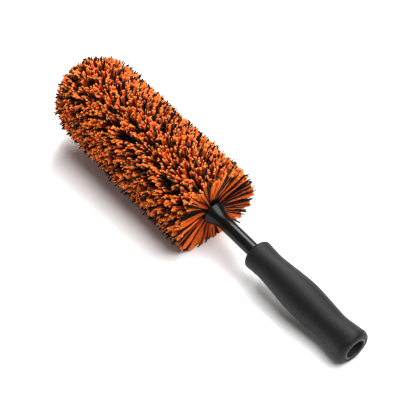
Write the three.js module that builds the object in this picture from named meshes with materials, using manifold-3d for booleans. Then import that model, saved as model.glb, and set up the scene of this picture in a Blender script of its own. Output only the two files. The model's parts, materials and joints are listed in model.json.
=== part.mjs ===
// A wheel brush: a twisted-wire brush head with a domed nose, on a flared moulded shaft with a foam grip.
//
// Millimetres, +Z up, +X towards the butt of the handle. The brush lies as it rests on a level surface: on the
// rear bulb of its grip and on the underside of its pile, which its weight presses flat. The origin is the
// middle of the bottom of its bounding box.
//
// Every piece but the wires and the cross pin is turned about the axis of the brush. A profile is a list of
// [station, radius] points, and a station is the distance from the butt face along the axis to the nose.

import * as THREE from 'three';
import { mergeVertices } from 'three/addons/utils/BufferGeometryUtils.js';
import Module from 'manifold-3d';

const wasm = await Module();
wasm.setup();

// Fits
const CLEARANCE = 0.3; // between pieces that touch
const TURNED_SIDES = 32;
const SMALL_SIDES = 24;

// Foam grip
const GRIP_LENGTH = 130;
const BULB_STATION = 5.5;
const BULB_RADIUS = 16.9;
const FACE_LIP = 0.4; // of foam between the end ring's seat and the rounded butt edge
const FRONT_EDGE = 3.5; // length and depth of the rounded front edge
const FRONT_RADIUS = 14.9;
const CONTOUR_STEPS = 18;
const EDGE_STEPS = 4;
// The necks and swells of the grip between its two ends: [share of its length, radius].
const GRIP_CONTOUR = [
  [0.12, 15.5],
  [0.205, 14.4],
  [0.3, 15.2],
  [0.4, 16.25],
  [0.5, 17],
  [0.61, 16.4],
  [0.725, 15.05],
  [0.84, 13.95],
  [0.91, 14.3],
];

// Handle core, a tube inside the foam with a web across its middle
const CORE_RADIUS = 9;
const CORE_REAR = 8;
const CORE_FRONT_SETBACK = 6; // from the front face of the grip
const BUTT_HOLE_RADIUS = 6.8;
const BUTT_HOLE_DEPTH = 42;

// End ring, pressed into the foam and over the rear of the core
const RING_WALL = 2.8;
const RING_LENGTH = 16;
const RING_CHAMFER = 0.7;

// Shaft: the tang in the core, the bare rod, and the flared collar, moulded as one
const ROD_RADIUS = 7;
const ROD_EXPOSED = 62; // from the grip to the mouth of the collar
const TANG_LENGTH = 60;
const TANG_CHAMFER = 0.8;
const MOUTH_RADIUS = 12.2;
const RIM_LENGTH = 2.5;
const RIM_DEPTH = 3;
const FLARE_LENGTH = 18;
const FLARE_POWER = 2.2; // the higher it is, the more sudden the flare
const FLARE_STEPS = 10;

// Cross pin through the core and the tang
const PIN_RADIUS = 1.5;
const PIN_SETBACK = 30; // from the front face of the grip
const PIN_SIDES = 12;

// Wires and what holds their ends
const WIRE_RADIUS = 1.1;
const WIRE_SIDES = 3; // the section has twice as many
const WIRE_STEPS = 8; // in a turn of the twist
const BEND_STEPS = 6;
const FERRULE_LENGTH = 30;
const FERRULE_WALL = 0.8;
const STEM_SETBACK = 2; // of the wires' cut ends from the rear of the ferrule
const CAP_WALL = 1.4;
const CAP_OVERLAP = 6; // of the cap down the straight of the twist

// Pile
const PILE_RADIUS = 46;
const PILE_LENGTH = 232; // from the mouth of the collar to the end of the nose
const PILE_TURNS = 9; // turns of the twist, each holding a layer of yarn and a layer of bristle
const BRISTLE_SHARE = 0.3; // of each turn
const FAN_LEAN = 8; // how far the pile leans back over the collar
const FAN_EDGE = 3;
const PILE_SQUASH = 9.3; // how far the floor presses into the pile at its near end
const NOSE_STEPS = 10;

// Places that follow from the sizes above
const coreFront = GRIP_LENGTH - CORE_FRONT_SETBACK;
const coreSeat = CORE_RADIUS + CLEARANCE; // the bore of the foam and of the end ring
const ringRadius = coreSeat + RING_WALL;
const ringSeat = ringRadius + CLEARANCE;
const tangEnd = GRIP_LENGTH - TANG_LENGTH;
const mouth = GRIP_LENGTH + ROD_EXPOSED;
const pinStation = GRIP_LENGTH - PIN_SETBACK;
const noseStart = mouth + PILE_LENGTH - PILE_RADIUS;
const turnLength = (noseStart - mouth) / PILE_TURNS;
const legSpacing = 2 * WIRE_RADIUS + CLEARANCE;
const twistRise = turnLength / (2 * Math.PI); // along the axis, in a radian of the twist
// At this radius each of the four legs stands legSpacing from the next, however tight the twist is.
const legRadius = twistRise * Math.sqrt(1 - Math.sqrt(1 - (legSpacing / twistRise) ** 2));
const twistRadius = legRadius + WIRE_RADIUS;
const outerBendRadius = legSpacing;
const outerBendLift = 2 * WIRE_RADIUS; // above the inner wire's bend
const ferruleBore = twistRadius + CLEARANCE;
const ferruleRadius = ferruleBore + FERRULE_WALL;
const pileBore = twistRadius + 2 * CLEARANCE;
const capBore = outerBendRadius + WIRE_RADIUS + CLEARANCE;
const capRadius = capBore + CAP_WALL;
const bendTop = noseStart + outerBendLift + outerBendRadius + WIRE_RADIUS;
const capStart = noseStart - CAP_OVERLAP;
const capPocket = capRadius + CLEARANCE;
const restTilt = Math.asin(
  (PILE_RADIUS - PILE_SQUASH - BULB_RADIUS) / (mouth - BULB_STATION),
);

// ---- Geometry ----

// A quarter of an ellipse from one profile point, left square to the axis, to another, reached along it.
function roundedEdge([startStation, startRadius], [endStation, endRadius], steps = EDGE_STEPS) {
  return Array.from({ length: steps + 1 }, (_, i) => {
    const angle = (i / steps) * (Math.PI / 2);
    const station = endStation + (startStation - endStation) * Math.cos(angle);
    return [station, startRadius + (endRadius - startRadius) * Math.sin(angle)];
  });
}

// A body turned about the axis, from a profile that starts and ends on it.
function turned(profile, sides = TURNED_SIDES) {
  const points = profile.map(([station, radius]) => new THREE.Vector2(radius, station));
  return new THREE.LatheGeometry(points, sides).rotateZ(Math.PI / 2);
}

// A ring turned about the axis, from a profile that closes on itself.
function turnedRing(profile, sides = TURNED_SIDES) {
  return turned([...profile, profile[0]], sides);
}

function toManifold(geometry) {
  const bare = geometry.clone().deleteAttribute('normal').deleteAttribute('uv');
  const merged = mergeVertices(bare);
  const corners = [...merged.index.array];
  const triVerts = [];
  for (let i = 0; i < corners.length; i += 3) {
    const [a, b, c] = corners.slice(i, i + 3);
    if (a !== b && b !== c && c !== a) triVerts.push(a, b, c);
  }
  const vertProperties = merged.attributes.position.array;
  return new wasm.Manifold(
    new wasm.Mesh({ numProp: 3, vertProperties, triVerts: new Uint32Array(triVerts) }),
  );
}

function cut(geometry, cutter) {
  const { vertProperties, triVerts } = toManifold(geometry).subtract(toManifold(cutter)).getMesh();
  const left = new THREE.BufferGeometry();
  left.setAttribute('position', new THREE.BufferAttribute(vertProperties, 3));
  left.setIndex(new THREE.BufferAttribute(triVerts, 1));
  left.computeVertexNormals();
  return left;
}

// ---- Handle ----

function gripOutline() {
  const shoulder = GRIP_LENGTH - FRONT_EDGE;
  const contour = new THREE.SplineCurve([
    new THREE.Vector2(BULB_STATION, BULB_RADIUS),
    ...GRIP_CONTOUR.map(([share, radius]) => new THREE.Vector2(share * GRIP_LENGTH, radius)),
    new THREE.Vector2(shoulder, FRONT_RADIUS),
  ]);
  const frontFace = [GRIP_LENGTH, FRONT_RADIUS - FRONT_EDGE];
  return [
    ...roundedEdge([0, ringSeat + FACE_LIP], [BULB_STATION, BULB_RADIUS]),
    ...contour.getPoints(CONTOUR_STEPS).slice(1, -1).map(({ x, y }) => [x, y]),
    ...roundedEdge(frontFace, [shoulder, FRONT_RADIUS]).reverse(),
  ];
}

function foamGrip() {
  const rodHole = ROD_RADIUS + CLEARANCE;
  const rearStep = RING_LENGTH + CLEARANCE;
  const frontStep = coreFront + CLEARANCE;
  return turnedRing([
    ...gripOutline(),
    [GRIP_LENGTH, rodHole],
    [frontStep, rodHole],
    [frontStep, coreSeat],
    [rearStep, coreSeat],
    [rearStep, ringSeat],
    [0, ringSeat],
  ]);
}

function pinHole() {
  const reach = 2 * (CORE_RADIUS + CLEARANCE);
  const hole = new THREE.CylinderGeometry(PIN_RADIUS + CLEARANCE, PIN_RADIUS + CLEARANCE, reach, PIN_SIDES);
  return hole.translate(-pinStation, 0, 0);
}

function handleCore() {
  const socket = ROD_RADIUS + CLEARANCE;
  const socketEnd = tangEnd - CLEARANCE;
  const body = turned([
    [BUTT_HOLE_DEPTH, 0],
    [BUTT_HOLE_DEPTH, BUTT_HOLE_RADIUS],
    [CORE_REAR, BUTT_HOLE_RADIUS],
    [CORE_REAR, CORE_RADIUS],
    [coreFront, CORE_RADIUS],
    [coreFront, socket],
    [socketEnd, socket],
    [socketEnd, 0],
  ]);
  return cut(body, pinHole());
}

function endRing() {
  return turnedRing([
    [RING_CHAMFER, coreSeat],
    [0, coreSeat + RING_CHAMFER],
    [0, ringRadius - RING_CHAMFER],
    [RING_CHAMFER, ringRadius],
    [RING_LENGTH, ringRadius],
    [RING_LENGTH, coreSeat],
  ]);
}

function crossPin() {
  const length = 2 * (CORE_RADIUS - CLEARANCE);
  return new THREE.CylinderGeometry(PIN_RADIUS, PIN_RADIUS, length, PIN_SIDES).translate(-pinStation, 0, 0);
}

// ---- Shaft ----

function flareOutline() {
  const rim = mouth - RIM_LENGTH;
  return Array.from({ length: FLARE_STEPS }, (_, i) => {
    const share = i / FLARE_STEPS;
    return [rim - FLARE_LENGTH * (1 - share), ROD_RADIUS + (MOUTH_RADIUS - ROD_RADIUS) * share ** FLARE_POWER];
  });
}

function shaft() {
  const socket = ferruleRadius + CLEARANCE;
  const socketEnd = mouth - FERRULE_LENGTH - CLEARANCE;
  const face = [mouth, MOUTH_RADIUS - RIM_DEPTH];
  const body = turned([
    [tangEnd, 0],
    [tangEnd, ROD_RADIUS - TANG_CHAMFER],
    [tangEnd + TANG_CHAMFER, ROD_RADIUS],
    ...flareOutline(),
    ...roundedEdge(face, [mouth - RIM_LENGTH, MOUTH_RADIUS]).reverse(),
    [mouth, socket],
    [socketEnd, socket],
    [socketEnd, 0],
  ]);
  return cut(body, pinHole());
}

// ---- Wires ----

function stemFerrule() {
  const rear = mouth - FERRULE_LENGTH;
  return turnedRing(
    [
      [rear, ferruleBore],
      [rear, ferruleRadius],
      [mouth, ferruleRadius],
      [mouth, ferruleBore],
    ],
    SMALL_SIDES,
  );
}

function around(station, radius, angle) {
  return new THREE.Vector3(-station, radius * Math.cos(angle), radius * Math.sin(angle));
}

// One leg of a wire, from its end in the collar to the start of its bend, where it stands off to bendRadius.
function wireLeg(phase, bendStart, bendRadius) {
  const start = mouth - FERRULE_LENGTH + STEM_SETBACK;
  const twistLength = noseStart - start;
  const steps = Math.round((twistLength / turnLength) * WIRE_STEPS);
  const leg = Array.from({ length: steps }, (_, i) => {
    const station = start + (twistLength * i) / steps;
    return around(station, legRadius, phase + ((station - noseStart) / turnLength) * 2 * Math.PI);
  });
  return [...leg, around(bendStart, bendRadius, phase)];
}

// A wire folded in two: up one leg, over a round bend at the nose, and down the other.
function foldedWire(phase, bendLift, bendRadius) {
  const bendStart = noseStart + bendLift;
  const bend = Array.from({ length: BEND_STEPS - 1 }, (_, i) => {
    const angle = ((i + 1) / BEND_STEPS) * Math.PI;
    return around(bendStart + bendRadius * Math.sin(angle), bendRadius * Math.cos(angle), phase);
  });
  const path = new THREE.CatmullRomCurve3([
    ...wireLeg(phase, bendStart, bendRadius),
    ...bend,
    ...wireLeg(phase + Math.PI, bendStart, bendRadius).reverse(),
  ]);
  path.getUtoTmapping = (share) => share; // a section stands at each point of the path
  const section = new THREE.Shape().absarc(0, 0, WIRE_RADIUS, 0, 2 * Math.PI);
  return new THREE.ExtrudeGeometry(section, {
    steps: path.points.length - 1,
    curveSegments: WIRE_SIDES,
    extrudePath: path,
  });
}

function tipCap() {
  const end = bendTop + CLEARANCE;
  const dome = roundedEdge([end + CAP_WALL, 0], [noseStart, capRadius]).reverse();
  return turned([[end, 0], [end, capBore], [capStart, capBore], [capStart, capRadius], ...dome], SMALL_SIDES);
}

// ---- Pile ----

// The floor, in the frame of the axis.
function floorBlock(lift) {
  const size = 4 * (mouth + PILE_LENGTH);
  const block = new THREE.BoxGeometry(size, size, size).translate(0, 0, -size / 2 - lift);
  return block.rotateY(-restTilt);
}

// The inside of a layer, from its end back to its start: it widens where the tip cap reaches into it.
function pileBoreOutline(start, end) {
  const step = Math.min(Math.max(capStart - CLEARANCE, start), end);
  const wide = [[end, capPocket], [step, capPocket]];
  const narrow = [[step, pileBore], [start, pileBore]];
  return [...(step < end ? wide : []), ...(step > start ? narrow : [])];
}

function pileLayer(start, end) {
  return turnedRing([[start, PILE_RADIUS], [end, PILE_RADIUS], ...pileBoreOutline(start, end)]);
}

// The first layer of yarn, which leans back round the mouth of the collar.
function pileFan(end) {
  const start = mouth + CLEARANCE;
  const lean = mouth - FAN_LEAN;
  return turnedRing([
    [start, MOUTH_RADIUS + CLEARANCE],
    [lean, PILE_RADIUS - FAN_EDGE],
    [lean + FAN_EDGE, PILE_RADIUS],
    [end, PILE_RADIUS],
    ...pileBoreOutline(start, end),
  ]);
}

// The last of the pile, which radiates from the tip of the wires.
function pileNose() {
  const pocketEnd = bendTop + CAP_WALL + 2 * CLEARANCE;
  const start = noseStart + CLEARANCE;
  const dome = roundedEdge([mouth + PILE_LENGTH, 0], [start, PILE_RADIUS], NOSE_STEPS).reverse();
  return turned([[pocketEnd, 0], [pocketEnd, capPocket], [start, capPocket], ...dome]);
}

// ---- Assembly ----

const FINISHES = {
  foam: { color: 0x1d1d1e, roughness: 0.9, metalness: 0 },
  core: { color: 0x2a2b2d, roughness: 0.6, metalness: 0 },
  ring: { color: 0x35363a, roughness: 0.45, metalness: 0 },
  shaft: { color: 0x17181a, roughness: 0.35, metalness: 0 },
  steel: { color: 0xb4b8bc, roughness: 0.35, metalness: 0.9 },
  cap: { color: 0x18181a, roughness: 0.7, metalness: 0 },
  yarn: { color: 0xc9602c, roughness: 0.95, metalness: 0 },
  bristle: { color: 0x171413, roughness: 0.7, metalness: 0 },
};

function piece(name, finish, geometry) {
  const mesh = new THREE.Mesh(geometry, new THREE.MeshStandardMaterial(FINISHES[finish]));
  mesh.name = name;
  return mesh;
}

function handle() {
  return new THREE.Group().add(
    piece('foam_grip', 'foam', foamGrip()),
    piece('handle_core', 'core', handleCore()),
    piece('end_ring', 'ring', endRing()),
    piece('cross_pin', 'steel', crossPin()),
  );
}

function stem() {
  return new THREE.Group().add(
    piece('flared_shaft', 'shaft', shaft()),
    piece('stem_ferrule', 'steel', stemFerrule()),
    piece('inner_wire', 'steel', foldedWire(0, 0, legRadius)),
    piece('outer_wire', 'steel', foldedWire(Math.PI / 2, outerBendLift, outerBendRadius)),
    piece('tip_cap', 'cap', tipCap()),
  );
}

function pile(lift) {
  const floor = floorBlock(lift);
  const group = new THREE.Group();
  for (let turn = 1; turn <= PILE_TURNS; turn += 1) {
    const end = mouth + turn * turnLength;
    const split = end - BRISTLE_SHARE * turnLength;
    const start = end - turnLength + CLEARANCE;
    const yarn = turn === 1 ? pileFan(split) : pileLayer(start, split);
    const bristle = pileLayer(split + CLEARANCE, end);
    group.add(
      piece(`yarn_layer_${turn}`, 'yarn', cut(yarn, floor)),
      piece(`bristle_layer_${turn}`, 'bristle', cut(bristle, floor)),
    );
  }
  return group.add(piece('yarn_nose', 'yarn', cut(pileNose(), floor)));
}

// How high the axis is at the butt face, with the lowest point of the grip on the floor.
function buttHeight() {
  const depths = gripOutline().map(([s, r]) => r * Math.cos(restTilt) - s * Math.sin(restTilt));
  return Math.max(...depths);
}

function wheelBrush() {
  const lift = buttHeight();
  const brush = new THREE.Group().add(handle(), stem(), pile(lift));
  brush.rotation.y = restTilt;
  brush.position.z = lift;
  const box = new THREE.Box3().setFromObject(brush, true);
  brush.position.x = -(box.min.x + box.max.x) / 2;
  return new THREE.Group().add(brush);
}

export default wheelBrush();
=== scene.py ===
"""A wheel brush: a round pile of soft orange yarn and thin black bristles, held by twisted wires, on a
moulded shaft with a flared collar and a contoured foam grip.

Sizes are in metres. A station is the distance from the butt face along the axis of the brush to its nose. The
floor is at z = 0 and the butt points along +X.
"""

import json
import logging
import math
from collections.abc import Iterable, Sequence
from dataclasses import dataclass, field, fields, replace
from enum import Enum
from typing import Any

import bmesh
import bpy
from bpy.types import Material, Node, NodeSocket, NodeTree, Object
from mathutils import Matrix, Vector


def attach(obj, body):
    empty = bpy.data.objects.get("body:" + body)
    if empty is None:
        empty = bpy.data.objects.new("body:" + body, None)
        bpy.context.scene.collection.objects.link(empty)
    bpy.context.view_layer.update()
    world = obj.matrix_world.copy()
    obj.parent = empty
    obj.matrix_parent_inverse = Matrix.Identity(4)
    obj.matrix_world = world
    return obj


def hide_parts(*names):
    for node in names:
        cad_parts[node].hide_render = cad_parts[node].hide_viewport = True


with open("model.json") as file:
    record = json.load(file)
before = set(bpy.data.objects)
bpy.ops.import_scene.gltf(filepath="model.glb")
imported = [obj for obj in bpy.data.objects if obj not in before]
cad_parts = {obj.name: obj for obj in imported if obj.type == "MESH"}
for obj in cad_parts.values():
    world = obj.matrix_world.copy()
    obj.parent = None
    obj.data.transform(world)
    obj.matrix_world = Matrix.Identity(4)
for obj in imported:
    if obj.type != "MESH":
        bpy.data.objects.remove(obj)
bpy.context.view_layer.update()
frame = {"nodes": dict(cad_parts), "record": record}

log = logging.getLogger("wheel_brush")

BODY = "root"
MM = 0.001
CLEARANCE = 0.3 * MM  # between pieces that fit into each other
ARC_STEPS = 7
ON_AXIS = 1e-7  # the radius below which a point is on the axis
MERGE = 1e-6  # the distance below which two corners are one
SHARP_ANGLE = math.radians(40)
GOLDEN_ANGLE = math.pi * (3 - math.sqrt(5))

Pair = tuple[float, float]
Triple = tuple[float, float, float]
Outline = list[Pair]
Colour = Triple


# ---- Node trees ----


@dataclass(frozen=True)
class Field:
    """A node's output, with which sums are written as in plain arithmetic."""

    tree: NodeTree
    socket: NodeSocket

    def _work(self, operation: str, *values: Any) -> "Field":
        """Adds a math node.

        Args:
            operation: the node's operation.
            values: its inputs in order, fields or numbers or vectors.

        Returns:
            The node's result, a vector if any of its inputs is one.
        """
        vector = any(
            v.socket.type in ("VECTOR", "RGBA") if isinstance(v, Field) else isinstance(v, (tuple, Vector))
            for v in values
        )
        node = self.tree.nodes.new("ShaderNodeVectorMath" if vector else "ShaderNodeMath")
        node.operation = operation
        for socket, value in zip(node.inputs, values):
            wire(self.tree, socket, value)
        return Field(self.tree, node.outputs[1 if operation in ("DOT_PRODUCT", "LENGTH") else 0])

    def __add__(self, other: Any) -> "Field":
        """The sum."""
        return self._work("ADD", self, other)

    def __sub__(self, other: Any) -> "Field":
        """The difference."""
        return self._work("SUBTRACT", self, other)

    def __rsub__(self, other: Any) -> "Field":
        """The difference, from a number."""
        return self._work("SUBTRACT", other, self)

    def __mul__(self, other: Any) -> "Field":
        """The product, part by part."""
        return self._work("MULTIPLY", self, other)

    def __truediv__(self, other: Any) -> "Field":
        """The quotient, part by part."""
        return self._work("DIVIDE", self, other)

    def __pow__(self, other: Any) -> "Field":
        """The power."""
        return self._work("POWER", self, other)

    def least(self, other: Any) -> "Field":
        """The smaller of the two."""
        return self._work("MINIMUM", self, other)

    def most(self, other: Any) -> "Field":
        """The larger of the two."""
        return self._work("MAXIMUM", self, other)

    def apply(self, operation: str) -> "Field":
        """The result of an operation with this one input."""
        return self._work(operation, self)

    def part(self, name: str) -> "Field":
        """The X, Y or Z of a vector."""
        return output(add_node(self.tree, "ShaderNodeSeparateXYZ", {"Vector": self}), name)


def wire(tree: NodeTree, socket: NodeSocket, value: Any) -> None:
    """Gives an input its value.

    Args:
        tree: the tree that holds the socket.
        socket: the input.
        value: a field or another node's output to link, or a constant.
    """
    if isinstance(value, Field):
        tree.links.new(value.socket, socket)
    elif isinstance(value, NodeSocket):
        tree.links.new(value, socket)
    elif socket.type in ("VECTOR", "RGBA") and isinstance(value, (int, float)):
        socket.default_value = [value] * len(socket.default_value)
    elif socket.type == "RGBA" and len(value) == 3:
        socket.default_value = (*value, 1)
    else:
        socket.default_value = value


def add_node(tree: NodeTree, kind: str, inputs: dict[str, Any] | None = None, **settings: Any) -> Any:
    """Adds a node.

    Args:
        tree: the tree it goes in.
        kind: the node's type.
        inputs: values by the inputs' identifiers.
        settings: the node's own properties.

    Returns:
        The node.
    """
    node = tree.nodes.new(kind)
    for name, value in settings.items():
        setattr(node, name, value)
    for identifier, value in (inputs or {}).items():
        wire(tree, next(s for s in node.inputs if s.identifier == identifier), value)
    return node


def output(node: Node, identifier: str) -> Field:
    """A node's output by its identifier."""
    return Field(node.id_data, next(s for s in node.outputs if s.identifier == identifier))


def vector_of(x: Field, y: Field, z: Field) -> Field:
    """The vector of three numbers."""
    return output(add_node(x.tree, "ShaderNodeCombineXYZ", {"X": x, "Y": y, "Z": z}), "Vector")


# ---- Finishes ----


class Mark(Enum):
    """What each point of a strand carries for its finish and its section."""

    ALONG = "along"  # the share of the strand's length, from the wires
    TONE = "tone"
    THICKNESS = "thickness"


def marked_value(tree: NodeTree, mark: Mark) -> Field:
    """What a strand carries, as a finish reads it."""
    return output(add_node(tree, "ShaderNodeAttribute", attribute_name=mark.value), "Fac")


def noise(place: Field, spot: float, detail: float, roughness: float) -> Field:
    """Soft spots from 0 to 1, `spot` apart, with `detail` finer layers that are `roughness` strong."""
    inputs = {"Vector": place, "Scale": 1 / spot, "Detail": detail, "Roughness": roughness}
    return output(add_node(place.tree, "ShaderNodeTexNoise", inputs), "Fac")


def ramp(value: Field, stops: Sequence[tuple[float, Colour]]) -> Field:
    """A colour that runs through stops.

    Args:
        value: where on the ramp, from 0 to 1.
        stops: positions and their colours.

    Returns:
        The colour.
    """
    node = add_node(value.tree, "ShaderNodeValToRGB", {"Fac": value})
    elements = node.color_ramp.elements
    elements[0].position, elements[-1].position = stops[0][0], stops[-1][0]
    for position, _ in stops[1:-1]:
        elements.new(position)
    for element, (_, colour) in zip(elements, stops):
        element.color = (*colour, 1)
    return output(node, "Color")


def grey(value: float) -> Colour:
    """The same amount of red, green and blue."""
    return (value, value, value)


def brighter(colour: Colour, gain: float, lift: float = 0.0) -> Colour:
    """A colour times a gain, and lifted by the same amount all through."""
    return tuple(gain * part + lift for part in colour)


@dataclass(frozen=True)
class Finish:
    """What every finish has: a name, and a surface shader whose inputs its own nodes feed."""

    name: str

    def material(self) -> Material:
        """Makes the finish.

        Returns:
            The finish as a material.
        """
        made = bpy.data.materials.new(self.name)
        made.use_nodes = True
        tree = made.node_tree
        shader = next(n for n in tree.nodes if n.type == "BSDF_PRINCIPLED")
        place = Field(tree, add_node(tree, "ShaderNodeTexCoord").outputs["Object"])
        self.dress(shader, place)
        return made

    def dress(self, shader: Node, place: Field) -> None:
        """Feeds the shader by coordinates on the object, in metres."""
        raise NotImplementedError

    def set(self, shader: Node, **values: Any) -> None:
        """Gives the shader's inputs their values, by the inputs' names with _ for a space."""
        for name, value in values.items():
            wire(shader.id_data, shader.inputs[name.replace("_", " ")], value)

    def bump(self, shader: Node, height: Field, depth: float, strength: float = 1.0) -> None:
        """Bumps the surface.

        Args:
            shader: the surface shader.
            height: from 0 to 1.
            depth: how far 1 stands above 0, in metres.
            strength: how much of it shows.
        """
        inputs = {"Height": height, "Distance": depth, "Strength": strength}
        node = add_node(shader.id_data, "ShaderNodeBump", inputs)
        wire(shader.id_data, shader.inputs["Normal"], node.outputs["Normal"])


@dataclass(frozen=True)
class FoamFinish(Finish):
    """Matte closed-cell foam with a fine grain and a dusty bloom."""

    dark: Colour = grey(0.0015)
    pale: Colour = grey(0.009)
    grain: float = 0.45 * MM
    cell: float = 0.9 * MM
    mottle: float = 1.8 * MM
    cloud: float = 22 * MM
    roughness: float = 0.38  # at its least
    relief: float = 0.22 * MM

    def dress(self, shader: Node, place: Field) -> None:
        """Feeds the shader with grain, cells and a soft sheen.

        Args:
            shader: the surface shader.
            place: coordinates on the object, in metres.
        """
        grain = noise(place, self.grain, detail=3, roughness=0.65)
        pattern = add_node(place.tree, "ShaderNodeTexVoronoi", {"Vector": place, "Scale": 1 / self.cell})
        cells = output(pattern, "Distance")
        mottle = noise(place, self.mottle, detail=3, roughness=0.7)
        cloud = noise(place, self.cloud, detail=3, roughness=0.6)
        tone = grain * 0.25 + mottle * 0.45 + cloud * 0.3
        self.set(
            shader,
            Base_Color=ramp(tone, [(0.3, self.dark), (0.7, self.pale)]),
            Roughness=cloud * 0.1 + mottle * 0.2 + self.roughness,
            Sheen_Weight=0.02,
            Sheen_Roughness=0.5,
            Sheen_Tint=grey(0.75),
            Specular_IOR_Level=0.2,
        )
        self.bump(shader, grain * 0.6 + cells * 0.5, self.relief)


@dataclass(frozen=True)
class PlasticFinish(Finish):
    """Moulded plastic with a faint texture, a few rubbed patches and hairline scuffs."""

    colour: Colour = grey(0.012)
    roughness: float = 0.3
    grain: float = 0.5 * MM
    patch: float = 9 * MM
    relief: float = 0.04 * MM

    def dress(self, shader: Node, place: Field) -> None:
        """Feeds the shader with mould texture and wear.

        Args:
            shader: the surface shader.
            place: coordinates on the object, in metres.
        """
        texture = noise(place, self.grain, detail=2, roughness=0.5)
        wear = noise(place, self.patch, detail=4, roughness=0.65)
        rubbed = brighter(self.colour, gain=1.5, lift=0.002)
        self.set(
            shader,
            Base_Color=ramp(wear, [(0.35, self.colour), (0.75, rubbed)]),
            Roughness=wear * 0.14 + texture * 0.06 + (self.roughness - 0.1),
            Specular_IOR_Level=0.2,
        )
        self.bump(shader, texture, self.relief, strength=0.6)


@dataclass(frozen=True)
class SteelFinish(Finish):
    """Drawn steel wire with faint streaks and dull spots."""

    colour: Colour = (0.56, 0.57, 0.59)
    stretch: Triple = (30.0, 400.0, 400.0)  # of the coordinates, for long streaks
    streak: float = 0.25  # on the stretched coordinates
    spot: float = 3 * MM
    relief: float = 0.02 * MM

    def dress(self, shader: Node, place: Field) -> None:
        """Feeds the shader with streaks and spots.

        Args:
            shader: the surface shader.
            place: coordinates on the object, in metres.
        """
        streaks = noise(place * self.stretch, self.streak, detail=2, roughness=0.6)
        spots = noise(place, self.spot, detail=3, roughness=0.6)
        dull = brighter(self.colour, gain=0.6)
        self.set(
            shader,
            Base_Color=ramp(streaks * 0.5 + spots * 0.5, [(0.35, dull), (0.65, self.colour)]),
            Metallic=1.0,
            Roughness=spots * 0.2 + 0.24,
        )
        self.bump(shader, streaks, self.relief, strength=0.5)


@dataclass(frozen=True)
class YarnFinish(Finish):
    """Soft dyed yarn with painted shade: darker and redder towards the root, deep in the pile, lighter peach
    at the tip; each strand a little its own.
    """

    # painted shade: the darker, redder colour that the strands take deep in the pile, near the wires
    deep: Colour = (0.88, 0.092, 0.011)
    body: Colour = (1.0, 0.165, 0.018)
    tip: Colour = (1.0, 0.28, 0.065)
    stops: Triple = (0.3, 0.8, 0.95)  # where the painted shade of the deep part ends, and the body's two ends
    fibre: float = 0.55 * MM
    relief: float = 0.5 * MM

    def dress(self, shader: Node, place: Field) -> None:
        """Feeds the shader by the strand's own attributes, with painted shade towards the root and fibres
        over them.

        Args:
            shader: the surface shader.
            place: coordinates on the object, in metres.
        """
        along = marked_value(place.tree, Mark.ALONG)
        tone = marked_value(place.tree, Mark.TONE)
        fibre = noise(place, self.fibre, detail=3, roughness=0.7)
        # the ramp paints shade along each strand: darker and redder towards the root, lighter towards the tip
        colours = (self.deep, self.body, self.body, self.tip)
        colour = ramp(along, list(zip((*self.stops, 1.0), colours)))
        shade = tone * 0.6 + fibre * 0.7 + 0.36
        self.set(
            shader,
            Base_Color=colour * shade,
            Roughness=0.95,
            Subsurface_Weight=0.35,
            Subsurface_Radius=(1.0, 0.35, 0.12),
            Subsurface_Scale=1.6 * MM,
            Specular_IOR_Level=0.04,
            Sheen_Weight=0.06,
            Sheen_Roughness=0.4,
            Sheen_Tint=(1.0, 0.6, 0.35),
        )
        self.bump(shader, fibre, self.relief, strength=0.9)


@dataclass(frozen=True)
class BristleFinish(Finish):
    """Stiff black filament with a faint warm shine."""

    colour: Colour = (0.004, 0.003, 0.0025)
    streak: float = 0.8 * MM
    relief: float = 0.05 * MM

    def dress(self, shader: Node, place: Field) -> None:
        """Feeds the shader by the strand's tone, with fine streaks over it.

        Args:
            shader: the surface shader.
            place: coordinates on the object, in metres.
        """
        tone = marked_value(place.tree, Mark.TONE)
        streak = noise(place, self.streak, detail=2, roughness=0.6)
        pale = brighter(self.colour, gain=2.4, lift=0.001)
        self.set(
            shader,
            Base_Color=ramp(tone * 0.6 + streak * 0.4, [(0.3, self.colour), (0.8, pale)]),
            Roughness=streak * 0.25 + 0.42,
            Specular_IOR_Level=0.12,
        )
        self.bump(shader, streak, self.relief, strength=0.5)


@dataclass(frozen=True)
class FloorFinish(Finish):
    """Plain pale paper."""

    colour: Colour = (0.93, 0.93, 0.925)
    mottle: float = 50 * MM
    relief: float = 0.02 * MM

    def dress(self, shader: Node, place: Field) -> None:
        """Feeds the shader with a barely seen mottle.

        Args:
            shader: the surface shader.
            place: coordinates on the object, in metres.
        """
        mottle = noise(place, self.mottle, detail=3, roughness=0.5)
        shade = brighter(self.colour, gain=0.985)
        self.set(
            shader,
            Base_Color=ramp(mottle, [(0.3, shade), (0.7, self.colour)]),
            Roughness=0.9,
            Specular_IOR_Level=0.1,
        )
        self.bump(shader, mottle, self.relief, strength=0.2)


# ---- Turned pieces ----


@dataclass(frozen=True)
class BrushAxis:
    """The line that the pieces are turned about."""

    butt: Vector
    along: Vector  # towards the nose, as a unit
    side: Vector
    lift: Vector

    @classmethod
    def of_record(cls, record: dict[str, Any]) -> "BrushAxis":
        """Reads the axis from the mount on the butt face.

        Args:
            record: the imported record.

        Returns:
            The axis.
        """
        mount = next(m for m in record["mounts"] if m["name"] == "butt_end")
        x, _, z = mount["pos_m"]
        along = -Vector(mount["axis"]).normalized()
        side = Vector((0, 1, 0))
        return cls(Vector((x, 0, z)), along, side, side.cross(along))

    def point(self, station: float, radius: float = 0.0, angle: float = 0.0) -> Vector:
        """A place by its distance along the axis and from it, and its angle from the side to the lift."""
        spoke = self.side * math.cos(angle) + self.lift * math.sin(angle)
        return self.butt + self.along * station + spoke * radius


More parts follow.
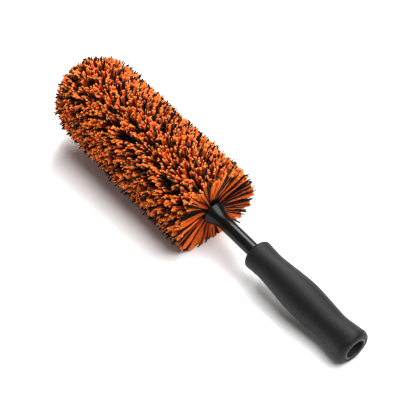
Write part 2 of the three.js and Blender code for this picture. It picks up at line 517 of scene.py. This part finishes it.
def arc(corner: Pair, before: Pair, after: Pair, cut: float) -> Outline:
    """Rounds a corner of an outline.

    Args:
        corner: the corner.
        before: the point before it.
        after: the point after it.
        cut: how far from the corner the round begins, on either side.

    Returns:
        The round's points.
    """
    here = Vector(corner)
    start = here + (Vector(before) - here).normalized() * cut
    end = here + (Vector(after) - here).normalized() * cut
    shares = (i / ARC_STEPS for i in range(ARC_STEPS + 1))
    return [tuple(start * (1 - t) ** 2 + here * (2 * t * (1 - t)) + end * t**2) for t in shares]


def rounded(corners: Sequence[Triple]) -> Outline:
    """A closed outline whose corners are rounded.

    Args:
        corners: station, radius and cut of each corner.

    Returns:
        The outline.
    """
    points: Outline = []
    for i, (station, radius, cut) in enumerate(corners):
        before, after = corners[i - 1][:2], corners[(i + 1) % len(corners)][:2]
        points += arc((station, radius), before, after, cut)
    return points


def linked(name: str, data: Any) -> Object:
    """Puts a mesh, a lamp or a camera in the scene.

    Args:
        name: the object's name.
        data: what it holds.

    Returns:
        The object.
    """
    made = bpy.data.objects.new(name, data)
    bpy.context.scene.collection.objects.link(made)
    return made


def turned(name: str, outline: Outline, axis: BrushAxis, sides: int, closed: bool) -> Object:
    """A piece turned about the axis.

    Args:
        name: the piece's name.
        outline: station and radius of each point of its profile.
        axis: the axis of the brush.
        sides: how many sides it has round the axis.
        closed: whether the profile is a loop. If not, it starts and ends on the axis.

    Returns:
        The piece, at the origin, with its place in its mesh.
    """
    body = bmesh.new()
    turns = [2 * math.pi * i / sides for i in range(sides)]
    rings = []
    for station, radius in outline:
        angles = turns if radius > ON_AXIS else [0.0]
        rings.append([body.verts.new(axis.point(station, radius, a)) for a in angles])
    following = rings[1:] + rings[:1] if closed else rings[1:]
    for first, second in zip(rings, following):
        for i in range(sides):
            turn = (i, i + 1)
            near, far = ([ring[j % sides % len(ring)] for j in turn] for ring in (first, second))
            corners = list(dict.fromkeys([*near, *reversed(far)]))
            if len(corners) > 2:
                body.faces.new(corners)
    bmesh.ops.remove_doubles(body, verts=body.verts, dist=MERGE)
    bmesh.ops.recalc_face_normals(body, faces=body.faces)
    mesh = bpy.data.meshes.new(name)
    body.to_mesh(mesh)
    body.free()
    mesh.shade_smooth()
    mesh.set_sharp_from_angle(angle=SHARP_ANGLE)
    return linked(name, mesh)


def quarter(start: Pair, end: Pair, steps: int) -> Outline:
    """A quarter of an ellipse, left square to the axis and reached along it.

    Args:
        start: station and radius of its start.
        end: station and radius of its end.
        steps: how many steps it takes.

    Returns:
        The points.
    """
    angles = (i / steps * math.pi / 2 for i in range(steps + 1))
    length, rise = start[0] - end[0], end[1] - start[1]
    return [(end[0] + length * math.cos(a), start[1] + rise * math.sin(a)) for a in angles]


def smooth_line(points: Outline, steps: int) -> Outline:
    """A smooth line through points, bent by the Catmull-Rom weights.

    Args:
        points: the points.
        steps: how many steps it takes from each point to the next.

    Returns:
        The line.
    """
    padded = [points[0], *points, points[-1]]
    line = []
    for a, b, c, d in zip(padded, padded[1:], padded[2:], padded[3:]):
        for i in range(steps):
            t = i / steps
            weights = (
                -0.5 * t + t * t - 0.5 * t**3,
                1 - 2.5 * t * t + 1.5 * t**3,
                0.5 * t + 2 * t * t - 1.5 * t**3,
                -0.5 * t * t + 0.5 * t**3,
            )
            line.append(tuple(sum(w * p[k] for w, p in zip(weights, (a, b, c, d))) for k in range(2)))
    return [*line, points[-1]]


def settle(piece: Object, slot: str, nodes: Iterable[str] = ()) -> None:
    """Attaches a finished piece to its body, hides the CAD nodes it stands for, and reports it with its slot.

    Args:
        piece: the piece.
        slot: the record's slot for its finish.
        nodes: the CAD nodes it stands for.
    """
    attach(piece, BODY)
    if nodes:
        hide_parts(*nodes)
    log.info("%s: %d faces, slot %s", piece.name, len(piece.data.polygons), slot)


def dress_node(name: str, finish: Finish) -> None:
    """Gives a CAD node a finish.

    Args:
        name: the node's name.
        finish: its finish.
    """
    node = frame["nodes"][name]
    node.data.materials.clear()
    node.data.materials.append(finish.material())
    log.info("%s keeps its shape, with finish %s", name, finish.name)


# ---- Handle ----


@dataclass
class Handle:
    """The foam sleeve, the ring pressed into its butt, and the core and cross pin inside."""

    axis: BrushAxis
    length: float = 130 * MM
    bulb: Pair = (5.5 * MM, 16.9 * MM)  # station and radius
    contour: tuple[Pair, ...] = (  # share of the length, and radius in millimetres
        *((0.12, 15.5), (0.205, 14.4), (0.3, 15.2)),  # the rear neck
        *((0.4, 16.25), (0.5, 17.0), (0.61, 16.4)),  # the belly
        *((0.725, 15.05), (0.84, 13.95), (0.91, 14.3)),  # the front neck
    )
    front_radius: float = 14.9 * MM
    front_edge: float = 3.5 * MM
    face_lip: float = 0.4 * MM  # of foam between the ring's seat and the rounded butt edge
    seat: float = 12.4 * MM  # the radius of the ring's seat in the foam
    core_seat: float = 9.3 * MM
    rod_hole: float = 7.3 * MM
    bore_chamfer: float = 0.3 * MM
    ring_radius: float = 12.1 * MM
    ring_length: float = 16 * MM
    ring_lip: float = 1.2 * MM
    ring_edge: float = 0.3 * MM
    core_front: float = 124.3 * MM  # the station where the core's seat ends
    swell_steps: int = 8
    edge_steps: int = 12
    sides: int = 128

    def sleeve_outline(self) -> Outline:
        """The foam's profile.

        Returns:
            Its rounded butt edge, its contour, its rounded front edge and its stepped bore.
        """
        shoulder = self.length - self.front_edge
        swells = [(share * self.length, radius * MM) for share, radius in self.contour]
        line = smooth_line([self.bulb, *swells, (shoulder, self.front_radius)], self.swell_steps)
        rear = quarter((0.0, self.seat + self.face_lip), self.bulb, self.edge_steps)
        face = (self.length, self.front_radius - self.front_edge)
        front = quarter(face, line[-1], self.edge_steps)[::-1]
        step = self.ring_length + CLEARANCE
        bore = [
            (self.length, self.rod_hole + self.bore_chamfer),
            (self.length - self.bore_chamfer, self.rod_hole),
            (self.core_front, self.rod_hole),
            (self.core_front, self.core_seat),
            (step, self.core_seat),
            (step, self.seat),
            (self.bore_chamfer, self.seat),
        ]
        return [*rear, *line[1:-1], *front, *bore]

    def ring_outline(self) -> Outline:
        """The ring's profile.

        Returns:
            A band with a rounded lip at the butt.
        """
        corners = [
            (0.0, self.core_seat, self.ring_lip),
            (0.0, self.ring_radius, self.ring_lip),
            (self.ring_length, self.ring_radius, self.ring_edge),
            (self.ring_length, self.core_seat, self.ring_edge),
        ]
        return rounded(corners)

    def build(self) -> None:
        """Builds and dresses the handle."""
        sleeve = turned("foam_sleeve", self.sleeve_outline(), self.axis, self.sides, closed=True)
        sleeve.data.materials.append(FoamFinish("grip_foam_matte").material())
        settle(sleeve, "grip_foam", ["foam_grip"])
        ring = turned("butt_ring", self.ring_outline(), self.axis, self.sides, closed=True)
        satin = PlasticFinish("ring_satin", colour=grey(0.02), roughness=0.40)
        ring.data.materials.append(satin.material())
        settle(ring, "ring_plastic", ["end_ring"])
        dress_node("handle_core", PlasticFinish("core_matte", colour=grey(0.003), roughness=0.6))
        dress_node("cross_pin", SteelFinish("pin_steel"))


# ---- Shaft ----


@dataclass
class Shaft:
    """The tang in the core, the bare rod and the flared collar, moulded as one."""

    axis: BrushAxis
    tang_end: float = 70 * MM
    tang_chamfer: float = 0.8 * MM
    rod_radius: float = 7 * MM
    mouth: float = 192 * MM
    mouth_radius: float = 12.2 * MM
    rim_length: float = 2.5 * MM
    rim_depth: float = 3 * MM
    flare_length: float = 18 * MM
    flare_power: float = 2.2  # the higher it is, the more sudden the flare
    flare_steps: int = 24
    rim_steps: int = 8
    socket: float = 4.45 * MM  # the radius of the hole for the stem of the wires
    socket_depth: float = 30.3 * MM
    sides: int = 96

    def outline(self) -> Outline:
        """The shaft's profile.

        Returns:
            Its outline from the tang's end on the axis to the bottom of the stem socket.
        """
        radius, length, power = self.rod_radius, self.flare_length, self.flare_power
        rim = self.mouth - self.rim_length
        rise = self.mouth_radius - radius
        shares = (i / self.flare_steps for i in range(self.flare_steps))
        flare = [(rim - length * (1 - s), radius + rise * s**power) for s in shares]
        inner = (self.mouth, self.mouth_radius - self.rim_depth)
        lip = quarter(inner, (rim, self.mouth_radius), self.rim_steps)[::-1]
        bottom = self.mouth - self.socket_depth
        return [
            (self.tang_end, 0.0),
            (self.tang_end, radius - self.tang_chamfer),
            (self.tang_end + self.tang_chamfer, radius),
            *flare,
            *lip,
            (self.mouth, self.socket),
            (bottom, self.socket),
            (bottom, 0.0),
        ]

    def build(self) -> None:
        """Builds and dresses the shaft."""
        rod = turned("shaft_and_collar", self.outline(), self.axis, self.sides, closed=False)
        satin = PlasticFinish("shaft_satin", colour=grey(0.003), roughness=0.22)
        rod.data.materials.append(satin.material())
        settle(rod, "shaft_plastic", ["flared_shaft"])


# ---- Wires ----


class WirePart(Enum):
    """The metal and rubber pieces that hold the pile, which keep their CAD shapes."""

    FERRULE = "stem_ferrule"
    INNER = "inner_wire"
    OUTER = "outer_wire"
    CAP = "tip_cap"


@dataclass
class WireCore:
    """The twisted wires, the ferrule round their ends and the cap over their folds."""

    def build(self) -> None:
        """Dresses each piece."""
        for part in WirePart:
            if part is WirePart.CAP:
                dress_node(part.value, PlasticFinish("cap_rubber_matte", colour=grey(0.012), roughness=0.75))
            else:
                dress_node(part.value, SteelFinish(f"{part.value}_steel"))


# ---- Pile ----


class StrandKind(Enum):
    """The two kinds of strand in the pile."""

    YARN = "yarn"
    BRISTLE = "bristle"


class Draw(Enum):
    """The random draws of a strand or a tuft, each with a salt of its own."""

    STATION = 1
    ANGLE = 2
    FAN = 3
    LENGTH = 4
    TUFT_LEAN = 5
    STRAND_LEAN = 6
    REST = 7
    TUFT_TONE = 8
    STRAND_TONE = 9
    FIRST_RING = 10


@dataclass(frozen=True)
class StrandSizes:
    """The inputs of the strand tree for one kind of strand."""

    total: int  # strands in the whole pile
    per_tuft: int
    segments: int
    sides: int
    reach: float  # from the axis to the tips
    uneven: float  # how much shorter or longer a strand may be, as a share
    thickness: float  # radius of a strand near its tip
    root_share: float  # of that at the wires
    tip_share: float  # of that at the very end
    lumps: float  # how much the radius swells and narrows, as a share
    tuft_lean: float  # how far a tuft's tip stands off its spoke
    strand_lean: float  # how far a strand's tip stands off its tuft
    waves: float  # how far a strand wanders from its line
    fan: float  # the slope at which the first strands lean back over the collar
    seed: int
    first: int = 0  # the number of a piece's first strand
    count: int = 0  # how many strands a piece has


@dataclass
class StrandTree:
    """A geometry tree that grows strands from the axis to the surface of the pile.

    A pace says how fast a smooth random value changes along a strand, and a skip how far on the next
    strand's value starts.
    """

    axis: BrushAxis
    mouth: float
    straight: float  # the length of the pile without its nose
    radius: float
    root: float = 3.9 * MM  # from the axis to the strands' roots
    ease: float = 1.8  # how much closer a strand's points stand near its tip
    longest: float = 0.6  # the most that a strand is longer, as a share of `uneven`
    jitter: float = 0.14  # in radians, of a tuft round the axis
    gather: float = 5 * MM  # of the pile's length, whose strands stand in the first ring
    ring_length: float = 5 * MM / 3  # of that ring
    nose_pull: float = 0.05  # how much shorter the strands are at the tip of the nose
    rim: float = 12.7 * MM  # the radius that the fan clears before it leans back
    fan_decay: float = 9 * MM
    fan_level: float = 0.8  # the share of the fan's slope at the sides
    fan_lift: float = 0.35  # what is added above and taken off below
    fan_least: float = 0.2  # the least share that a tuft draws
    tuft_bow: float = 1.4  # the power by which a tuft's lean grows along it
    wave_bow: float = 1.5
    wave_pace: float = 2.6
    wave_skip: float = 7.31
    lump_pace: float = 9.0
    lump_skip: float = 3.17
    lump_layers: float = 2
    lump_gain: float = 2.0  # takes the noise to about -1 to 1
    blunt: float = 0.1  # the share of a strand over which its tip narrows
    tuft_tone: float = 0.5  # the share of a strand's tone that its tuft shares
    aside_lean: float = 60.0  # how much a tuft's lean turns the way it spreads on the floor, per metre
    aside: float = 0.75  # how far a strand spreads for each metre that the floor presses it up
    lowest: Pair = (0.5 * MM, 3.5 * MM)  # above the floor, of the strands that lie on it
    tree: Any = field(default=None, init=False)
    inputs: dict[str, Any] = field(default_factory=dict, init=False)
    sockets: dict[str, str] = field(default_factory=dict, init=False)

    def random(self, low: Any, high: Any, identity: Field, draw: Draw) -> Field:
        """A random value for each strand or tuft.

        Args:
            low: the least, a number or a vector.
            high: the most.
            identity: the number of the strand or tuft.
            draw: which of its draws this is.

        Returns:
            The value.
        """
        vector = isinstance(low, tuple)
        ends = {"Min": low, "Max": high} if vector else {"Min_001": low, "Max_001": high}
        inputs = {**ends, "ID": identity, "Seed": self.inputs["seed"] + draw.value}
        kind = "FLOAT_VECTOR" if vector else "FLOAT"
        node = add_node(self.tree, "FunctionNodeRandomValue", inputs, data_type=kind)
        return output(node, "Value" if vector else "Value_001")

    def drift(self, turn: Field, detail: float = 1) -> Field:
        """A smooth random vector along a strand, about -0.5 to 0.5 each way.

        Args:
            turn: what it changes with.
            detail: how many finer layers it has.

        Returns:
            The vector.
        """
        inputs = {"W": turn, "Scale": 1.0, "Detail": detail}
        node = add_node(self.tree, "ShaderNodeTexNoise", inputs, noise_dimensions="1D")
        return output(node, "Color") - 0.5

    def make_inputs(self, kind: StrandKind) -> None:
        """Makes the tree with its named inputs.

        Args:
            kind: the kind of strand.
        """
        self.tree = bpy.data.node_groups.new(f"{kind.value}_strands", "GeometryNodeTree")
        interface = self.tree.interface
        forms = {int: "NodeSocketInt", float: "NodeSocketFloat", Material: "NodeSocketMaterial"}
        types = {each.name: each.type for each in fields(StrandSizes)} | {"finish": Material}
        for name, kept in types.items():
            socket = interface.new_socket(name, in_out="INPUT", socket_type=forms[kept])
            self.sockets[name] = socket.identifier
        interface.new_socket("strands", in_out="OUTPUT", socket_type="NodeSocketGeometry")
        start = self.tree.nodes.new("NodeGroupInput")
        self.inputs = {name: output(start, identifier) for name, identifier in self.sockets.items()}

    def spoke(self, tuft: Field) -> tuple[Field, Field]:
        """Where a tuft leaves the axis, and which way.

        Args:
            tuft: the tuft's number.

        Returns:
            Its distance from the mouth, and its direction, both in the frame of the axis.
        """
        tufts = self.inputs["total"] / self.inputs["per_tuft"]
        whole = self.straight + self.radius + self.gather
        travel = (tuft + self.random(0.0, 1.0, tuft, Draw.STATION)) / tufts * whole - self.gather
        first = self.random(0.0, self.ring_length, tuft, Draw.FIRST_RING)
        station = travel.most(first).least(self.straight)
        forward = (travel - self.straight).most(0.0) / self.radius
        ring = (1.0 - forward * forward).apply("SQRT")
        angle = tuft * GOLDEN_ANGLE + self.random(-1.0, 1.0, tuft, Draw.ANGLE) * self.jitter
        return station, vector_of(forward, ring * angle.apply("COSINE"), ring * angle.apply("SINE"))

    def leaned(self, station: Field, lift: Field, tuft: Field, reach: Field) -> Field:
        """How far a strand near the collar has leaned back over it, least where the floor holds it.

        Args:
            station: where its tuft leaves the axis, from the mouth.
            lift: how far upwards the tuft points, from -1 to 1.
            tuft: the tuft's number.
            reach: how far from the axis the point is.

        Returns:
            The distance, towards the handle.
        """
        fade = (station * (-1 / self.fan_decay)).apply("EXPONENT")
        slope = self.inputs["fan"] * (lift * self.fan_lift + self.fan_level)
        slope = slope * self.random(self.fan_least, 1.0, tuft, Draw.FAN) * fade
        return slope * (reach - self.rim).most(0.0)

    def placed(self, local: Field) -> Field:
        """Turns a place in the frame of the axis into the brush's own frame.

        Args:
            local: the place, counted from the mouth.

        Returns:
            The place, counted from the frame's origin.
        """
        axis = self.axis
        units = zip("XYZ", (axis.along, axis.side, axis.lift))
        x, y, z = (local.part(name) * tuple(unit) for name, unit in units)
        return x + y + z + tuple(axis.point(self.mouth))

    def rested(self, place: Field, aside: Field, low: Field) -> Field:
        """Presses a place that is below `low` up to it, and spreads it the way of `aside`."""
        deep = (low - place.part("Z")).most(0.0)
        return place + vector_of(aside.part("X") * deep, aside.part("Y") * deep, deep)

    def grow(self, kind: StrandKind) -> None:
        """Builds the whole tree.

        Args:
            kind: the kind of strand.
        """
        self.make_inputs(kind)
        tree, given = self.tree, self.inputs
        points = add_node(tree, "GeometryNodePoints", {"Count": given["count"]})
        line = add_node(tree, "GeometryNodeCurvePrimitiveLine")
        cuts = {"Curve": line.outputs[0], "Count": given["segments"] + 1}
        steps = add_node(tree, "GeometryNodeResampleCurve", cuts)
        copies = {"Points": points.outputs[0], "Instance": steps.outputs[0]}
        rows = add_node(tree, "GeometryNodeInstanceOnPoints", copies)
        lines = add_node(tree, "GeometryNodeRealizeInstances", {"Geometry": rows.outputs[0]})
        curve = add_node(tree, "GeometryNodeCurveOfPoint")
        strand = output(curve, "Curve Index") + given["first"]
        tuft = (strand / given["per_tuft"]).apply("FLOOR")
        share = output(add_node(tree, "GeometryNodeSplineParameter"), "Factor")
        along = 1.0 - (1.0 - share) ** self.ease

        station, way = self.spoke(tuft)
        draw = self.random(-1.0, self.longest, strand, Draw.LENGTH)
        length = given["reach"] * (draw * given["uneven"] + 1.0)
        length = length * (1.0 - way.part("X") * self.nose_pull)
        tuft_lean = self.random((-1.0,) * 3, (1.0,) * 3, tuft, Draw.TUFT_LEAN) * given["tuft_lean"]
        strand_lean = self.random((-1.0,) * 3, (1.0,) * 3, strand, Draw.STRAND_LEAN) * given["strand_lean"]
        wave = self.drift(strand * self.wave_skip + along * self.wave_pace) * given["waves"]
        back = self.leaned(station, way.part("Z"), tuft, length * along)
        start = (station - back) * (1.0, 0.0, 0.0) + way * self.root
        local = (
            start
            + way * (length - self.root) * along
            + tuft_lean * (along**self.tuft_bow)
            + strand_lean * along
            + wave * (along**self.wave_bow)
        )
        place = self.placed(local)
        aside = self.placed(way + tuft_lean * self.aside_lean) - tuple(self.axis.point(self.mouth))
        low = self.random(*self.lowest, strand, Draw.REST)
        rested = self.rested(place, aside * self.aside, low)
        moves = {"Geometry": lines.outputs[0], "Position": rested}
        moved = add_node(tree, "GeometryNodeSetPosition", moves)
        marked = self.marked(lines, strand, tuft, share, along)
        tree.links.new(marked.outputs[0], moved.inputs["Geometry"])
        self.finish(moved)

    def marked(self, lines: Any, strand: Field, tuft: Field, share: Field, along: Field) -> Any:
        """Stores on each point what the finish and the sweep read later.

        Args:
            lines: the node that makes the lines.
            strand: the strand's number.
            tuft: its tuft's number.
            share: how far the point is along the strand, in even steps.
            along: the share of the strand's length.

        Returns:
            The last node that stores.
        """
        given = self.inputs
        drawn = self.random(0.0, 1.0, tuft, Draw.TUFT_TONE) * self.tuft_tone
        tone = drawn + self.random(0.0, 1.0, strand, Draw.STRAND_TONE) * (1 - self.tuft_tone)
        swell = self.drift(strand * self.lump_skip + along * self.lump_pace, self.lump_layers).part("X")
        lump = swell * self.lump_gain * given["lumps"] + 1.0
        taper = given["root_share"] + (1.0 - given["root_share"]) * along
        worn = (share - (1 - self.blunt)).most(0.0) * (1 / self.blunt) * (1.0 - given["tip_share"])
        thickness = given["thickness"] * taper * lump * (1.0 - worn)
        last = lines
        for mark, value in ((Mark.ALONG, along), (Mark.TONE, tone), (Mark.THICKNESS, thickness)):
            stored = {"Geometry": last.outputs[0], "Name": mark.value, "Value": value}
            kind = "GeometryNodeStoreNamedAttribute"
            last = add_node(self.tree, kind, stored, data_type="FLOAT", domain="POINT")
        return last

    def finish(self, moved: Any) -> None:
        """Sweeps a round section along the lines and gives it the finish.

        Args:
            moved: the node with the lines in place.
        """
        tree = self.tree
        section = {"Resolution": self.inputs["sides"], "Radius": 1.0}
        circle = add_node(tree, "GeometryNodeCurvePrimitiveCircle", section)
        name = {"Name": Mark.THICKNESS.value}
        read = add_node(tree, "GeometryNodeInputNamedAttribute", name, data_type="FLOAT")
        sweep = {
            "Curve": moved.outputs[0],
            "Profile Curve": circle.outputs[0],
            "Scale": read.outputs["Attribute"],
            "Fill Caps": True,
        }
        swept = add_node(tree, "GeometryNodeCurveToMesh", sweep)
        smooth = add_node(tree, "GeometryNodeSetShadeSmooth", {"Geometry": swept.outputs[0]})
        whole = add_node(tree, "GeometryNodeRealizeInstances", {"Geometry": smooth.outputs[0]})
        cover = {"Geometry": whole.outputs[0], "Material": self.inputs["finish"]}
        dressed = add_node(tree, "GeometryNodeSetMaterial", cover)
        end = tree.nodes.new("NodeGroupOutput")
        tree.links.new(dressed.outputs[0], end.inputs[0])

    def piece(self, name: str, sizes: StrandSizes, first: int, count: int, finish: Material) -> Object:
        """Grows one piece of the pile as a plain mesh.

        Args:
            name: the piece's name.
            sizes: the sizes of its strands.
            first: the number of its first strand.
            count: how many strands it has.
            finish: its material.

        Returns:
            The piece.
        """
        piece = linked(name, bpy.data.meshes.new(name))
        modifier = piece.modifiers.new("strands", "NODES")
        modifier.node_group = self.tree
        share = replace(sizes, first=first, count=count)
        for each in fields(StrandSizes):
            modifier[self.sockets[each.name]] = getattr(share, each.name)
        modifier[self.sockets["finish"]] = finish
        graph = bpy.context.evaluated_depsgraph_get()
        mesh = bpy.data.meshes.new_from_object(piece.evaluated_get(graph), depsgraph=graph)
        piece.modifiers.remove(modifier)
        piece.data = mesh
        mesh.name = name
        return piece


@dataclass
class Pile:
    """The strands of both kinds, in pieces along the axis, each standing for the layers it covers."""

    axis: BrushAxis
    mouth: float = 193.2 * MM  # the station of its first strands
    straight: float = 185 * MM
    radius: float = 46 * MM
    layers: int = 9
    yarn_pieces: int = 5
    bristle_pieces: int = 3
    yarn: StrandSizes = StrandSizes(
        total=8800,
        per_tuft=3,
        segments=8,
        sides=5,
        reach=45.2 * MM,
        uneven=0.025,
        thickness=0.95 * MM,
        root_share=0.5,
        tip_share=0.62,
        lumps=0.34,
        tuft_lean=1.4 * MM,
        strand_lean=1.6 * MM,
        waves=4.0 * MM,
        fan=0.25,
        seed=11,
    )
    bristle: StrandSizes = StrandSizes(
        total=5200,
        per_tuft=1,
        segments=4,
        sides=4,
        reach=45.9 * MM,
        uneven=0.02,
        thickness=0.74 * MM,
        root_share=0.8,
        tip_share=1.0,
        lumps=0.05,
        tuft_lean=3.0 * MM,
        strand_lean=1.6 * MM,
        waves=1.5 * MM,
        fan=0.27,
        seed=47,
    )

    def nodes(self, kind: StrandKind, piece: int, pieces: int) -> list[str]:
        """The CAD nodes that one piece stands for.

        Args:
            kind: the kind of strand.
            piece: the number of the piece, from 0.
            pieces: how many pieces there are.

        Returns:
            The nodes' names.
        """
        share = math.ceil(self.layers / pieces)
        last = min(self.layers, (piece + 1) * share)
        names = [f"{kind.value}_layer_{i + 1}" for i in range(piece * share, last)]
        if kind is StrandKind.YARN and piece == pieces - 1:
            names.append("yarn_nose")
        return names

    def grow(self, kind: StrandKind, sizes: StrandSizes, pieces: int, finish: Finish, slot: str) -> None:
        """Grows one kind of strand.

        Args:
            kind: the kind of strand.
            sizes: its sizes.
            pieces: how many pieces it is made in.
            finish: its finish.
            slot: the record's slot for it.
        """
        tree = StrandTree(self.axis, self.mouth, self.straight, self.radius)
        tree.grow(kind)
        material = finish.material()
        share = math.ceil(sizes.total / pieces / sizes.per_tuft) * sizes.per_tuft
        for i in range(pieces):
            first = i * share
            count = min(share, sizes.total - first)
            piece = tree.piece(f"{kind.value}_pile_{i + 1}", sizes, first, count, material)
            settle(piece, slot, self.nodes(kind, i, pieces))

    def build(self) -> None:
        """Grows the yarn and the bristles."""
        yarn, bristle = YarnFinish("yarn_orange"), BristleFinish("bristle_black")
        self.grow(StrandKind.YARN, self.yarn, self.yarn_pieces, yarn, "orange_yarn")
        self.grow(StrandKind.BRISTLE, self.bristle, self.bristle_pieces, bristle, "black_bristle")


# ---- Studio ----


def aimed(name: str, data: Any, place: Vector, way: Vector) -> Object:
    """Puts a lamp or a camera in the scene and points it.

    Args:
        name: the object's name.
        data: the lamp or camera.
        place: where it stands.
        way: which way it points.

    Returns:
        The object.
    """
    made = linked(name, data)
    made.location = place
    made.rotation_euler = way.to_track_quat("-Z", "Y").to_euler()
    return made


@dataclass(frozen=True)
class Sky:
    """An even soft light from a round patch overhead, the same all over the floor."""

    name: str
    way: Triple  # towards the patch
    spread: float  # the patch's width, in degrees
    strength: float

    def hang(self, target: Vector) -> None:
        """Hangs it.

        Args:
            target: what it hangs above.
        """
        data = bpy.data.lights.new(self.name, "SUN")
        data.angle = math.radians(self.spread)
        data.energy = self.strength
        aimed(self.name, data, target + Vector(self.way), -Vector(self.way))


@dataclass(frozen=True)
class Lamp:
    """A flat soft light."""

    name: str
    place: Triple
    width: float
    height: float
    power: float

    def hang(self, target: Vector) -> None:
        """Hangs it.

        Args:
            target: what it is turned towards.
        """
        data = bpy.data.lights.new(self.name, "AREA")
        data.shape = "RECTANGLE"
        data.size, data.size_y = self.width, self.height
        data.energy = self.power
        aimed(self.name, data, Vector(self.place), target - Vector(self.place))


@dataclass
class Studio:
    """A pale floor, an even light overhead, a tall lamp behind, and a camera above the handle."""

    target: Triple = (-0.01857, 0.02382, 0.00068)
    azimuth: float = 51.54  # in degrees, as the elevation is
    elevation: float = 42.13
    distance: float = 1.01046
    lens: float = 88.4  # in millimetres, as the sensor is
    sensor: float = 36.0
    floor_size: float = 4.0  # from its middle to its edges
    world: float = 0.2  # the light from all round
    backdrop: float = 1.0  # what the camera sees of it
    lamps: tuple[Sky | Lamp, ...] = (
        Sky("key", way=(0.46, 0.33, 1.60), spread=52.0, strength=4.35),
        Lamp("back", place=(-0.57, 0.68, 0.98), width=0.35, height=1.1, power=20.5),
    )

    def floor(self) -> None:
        """Lays the floor."""
        body = bmesh.new()
        bmesh.ops.create_grid(body, x_segments=4, y_segments=4, size=self.floor_size)
        mesh = bpy.data.meshes.new("floor")
        body.to_mesh(mesh)
        body.free()
        mesh.materials.append(FloorFinish("floor_paper").material())
        linked("floor", mesh)

    def light(self) -> None:
        """Hangs the lamps and sets the light from all round."""
        for lamp in self.lamps:
            lamp.hang(Vector(self.target))
        world = bpy.data.worlds.new("room")
        world.use_nodes = True
        sky = world.node_tree.nodes["Background"]
        sky.inputs["Color"].default_value = (1, 1, 1, 1)
        seen = output(add_node(world.node_tree, "ShaderNodeLightPath"), "Is Camera Ray")
        wire(world.node_tree, sky.inputs["Strength"], seen * (self.backdrop - self.world) + self.world)
        bpy.context.scene.world = world
        bpy.context.scene.view_settings.view_transform = "Standard"

    def camera(self) -> None:
        """Sets up the camera."""
        data = bpy.data.cameras.new("camera")
        data.lens = self.lens
        data.sensor_width = self.sensor
        azimuth, elevation = math.radians(self.azimuth), math.radians(self.elevation)
        level = math.cos(elevation)
        back = Vector((math.sin(azimuth) * level, -math.cos(azimuth) * level, math.sin(elevation)))
        camera = aimed("camera", data, Vector(self.target) + back * self.distance, -back)
        bpy.context.scene.camera = camera

    def build(self) -> None:
        """Sets the whole studio."""
        self.camera()
        self.light()
        self.floor()
        log.info("studio: lens %.1f mm, elevation %.2f degrees", self.lens, self.elevation)


def main() -> None:
    """Builds the brush and its studio."""
    logging.basicConfig(level=logging.INFO, format="%(name)s: %(message)s")
    axis = BrushAxis.of_record(frame["record"])
    Studio().build()
    Handle(axis).build()
    Shaft(axis).build()
    WireCore().build()
    Pile(axis).build()


if __name__ == "__main__":
    main()
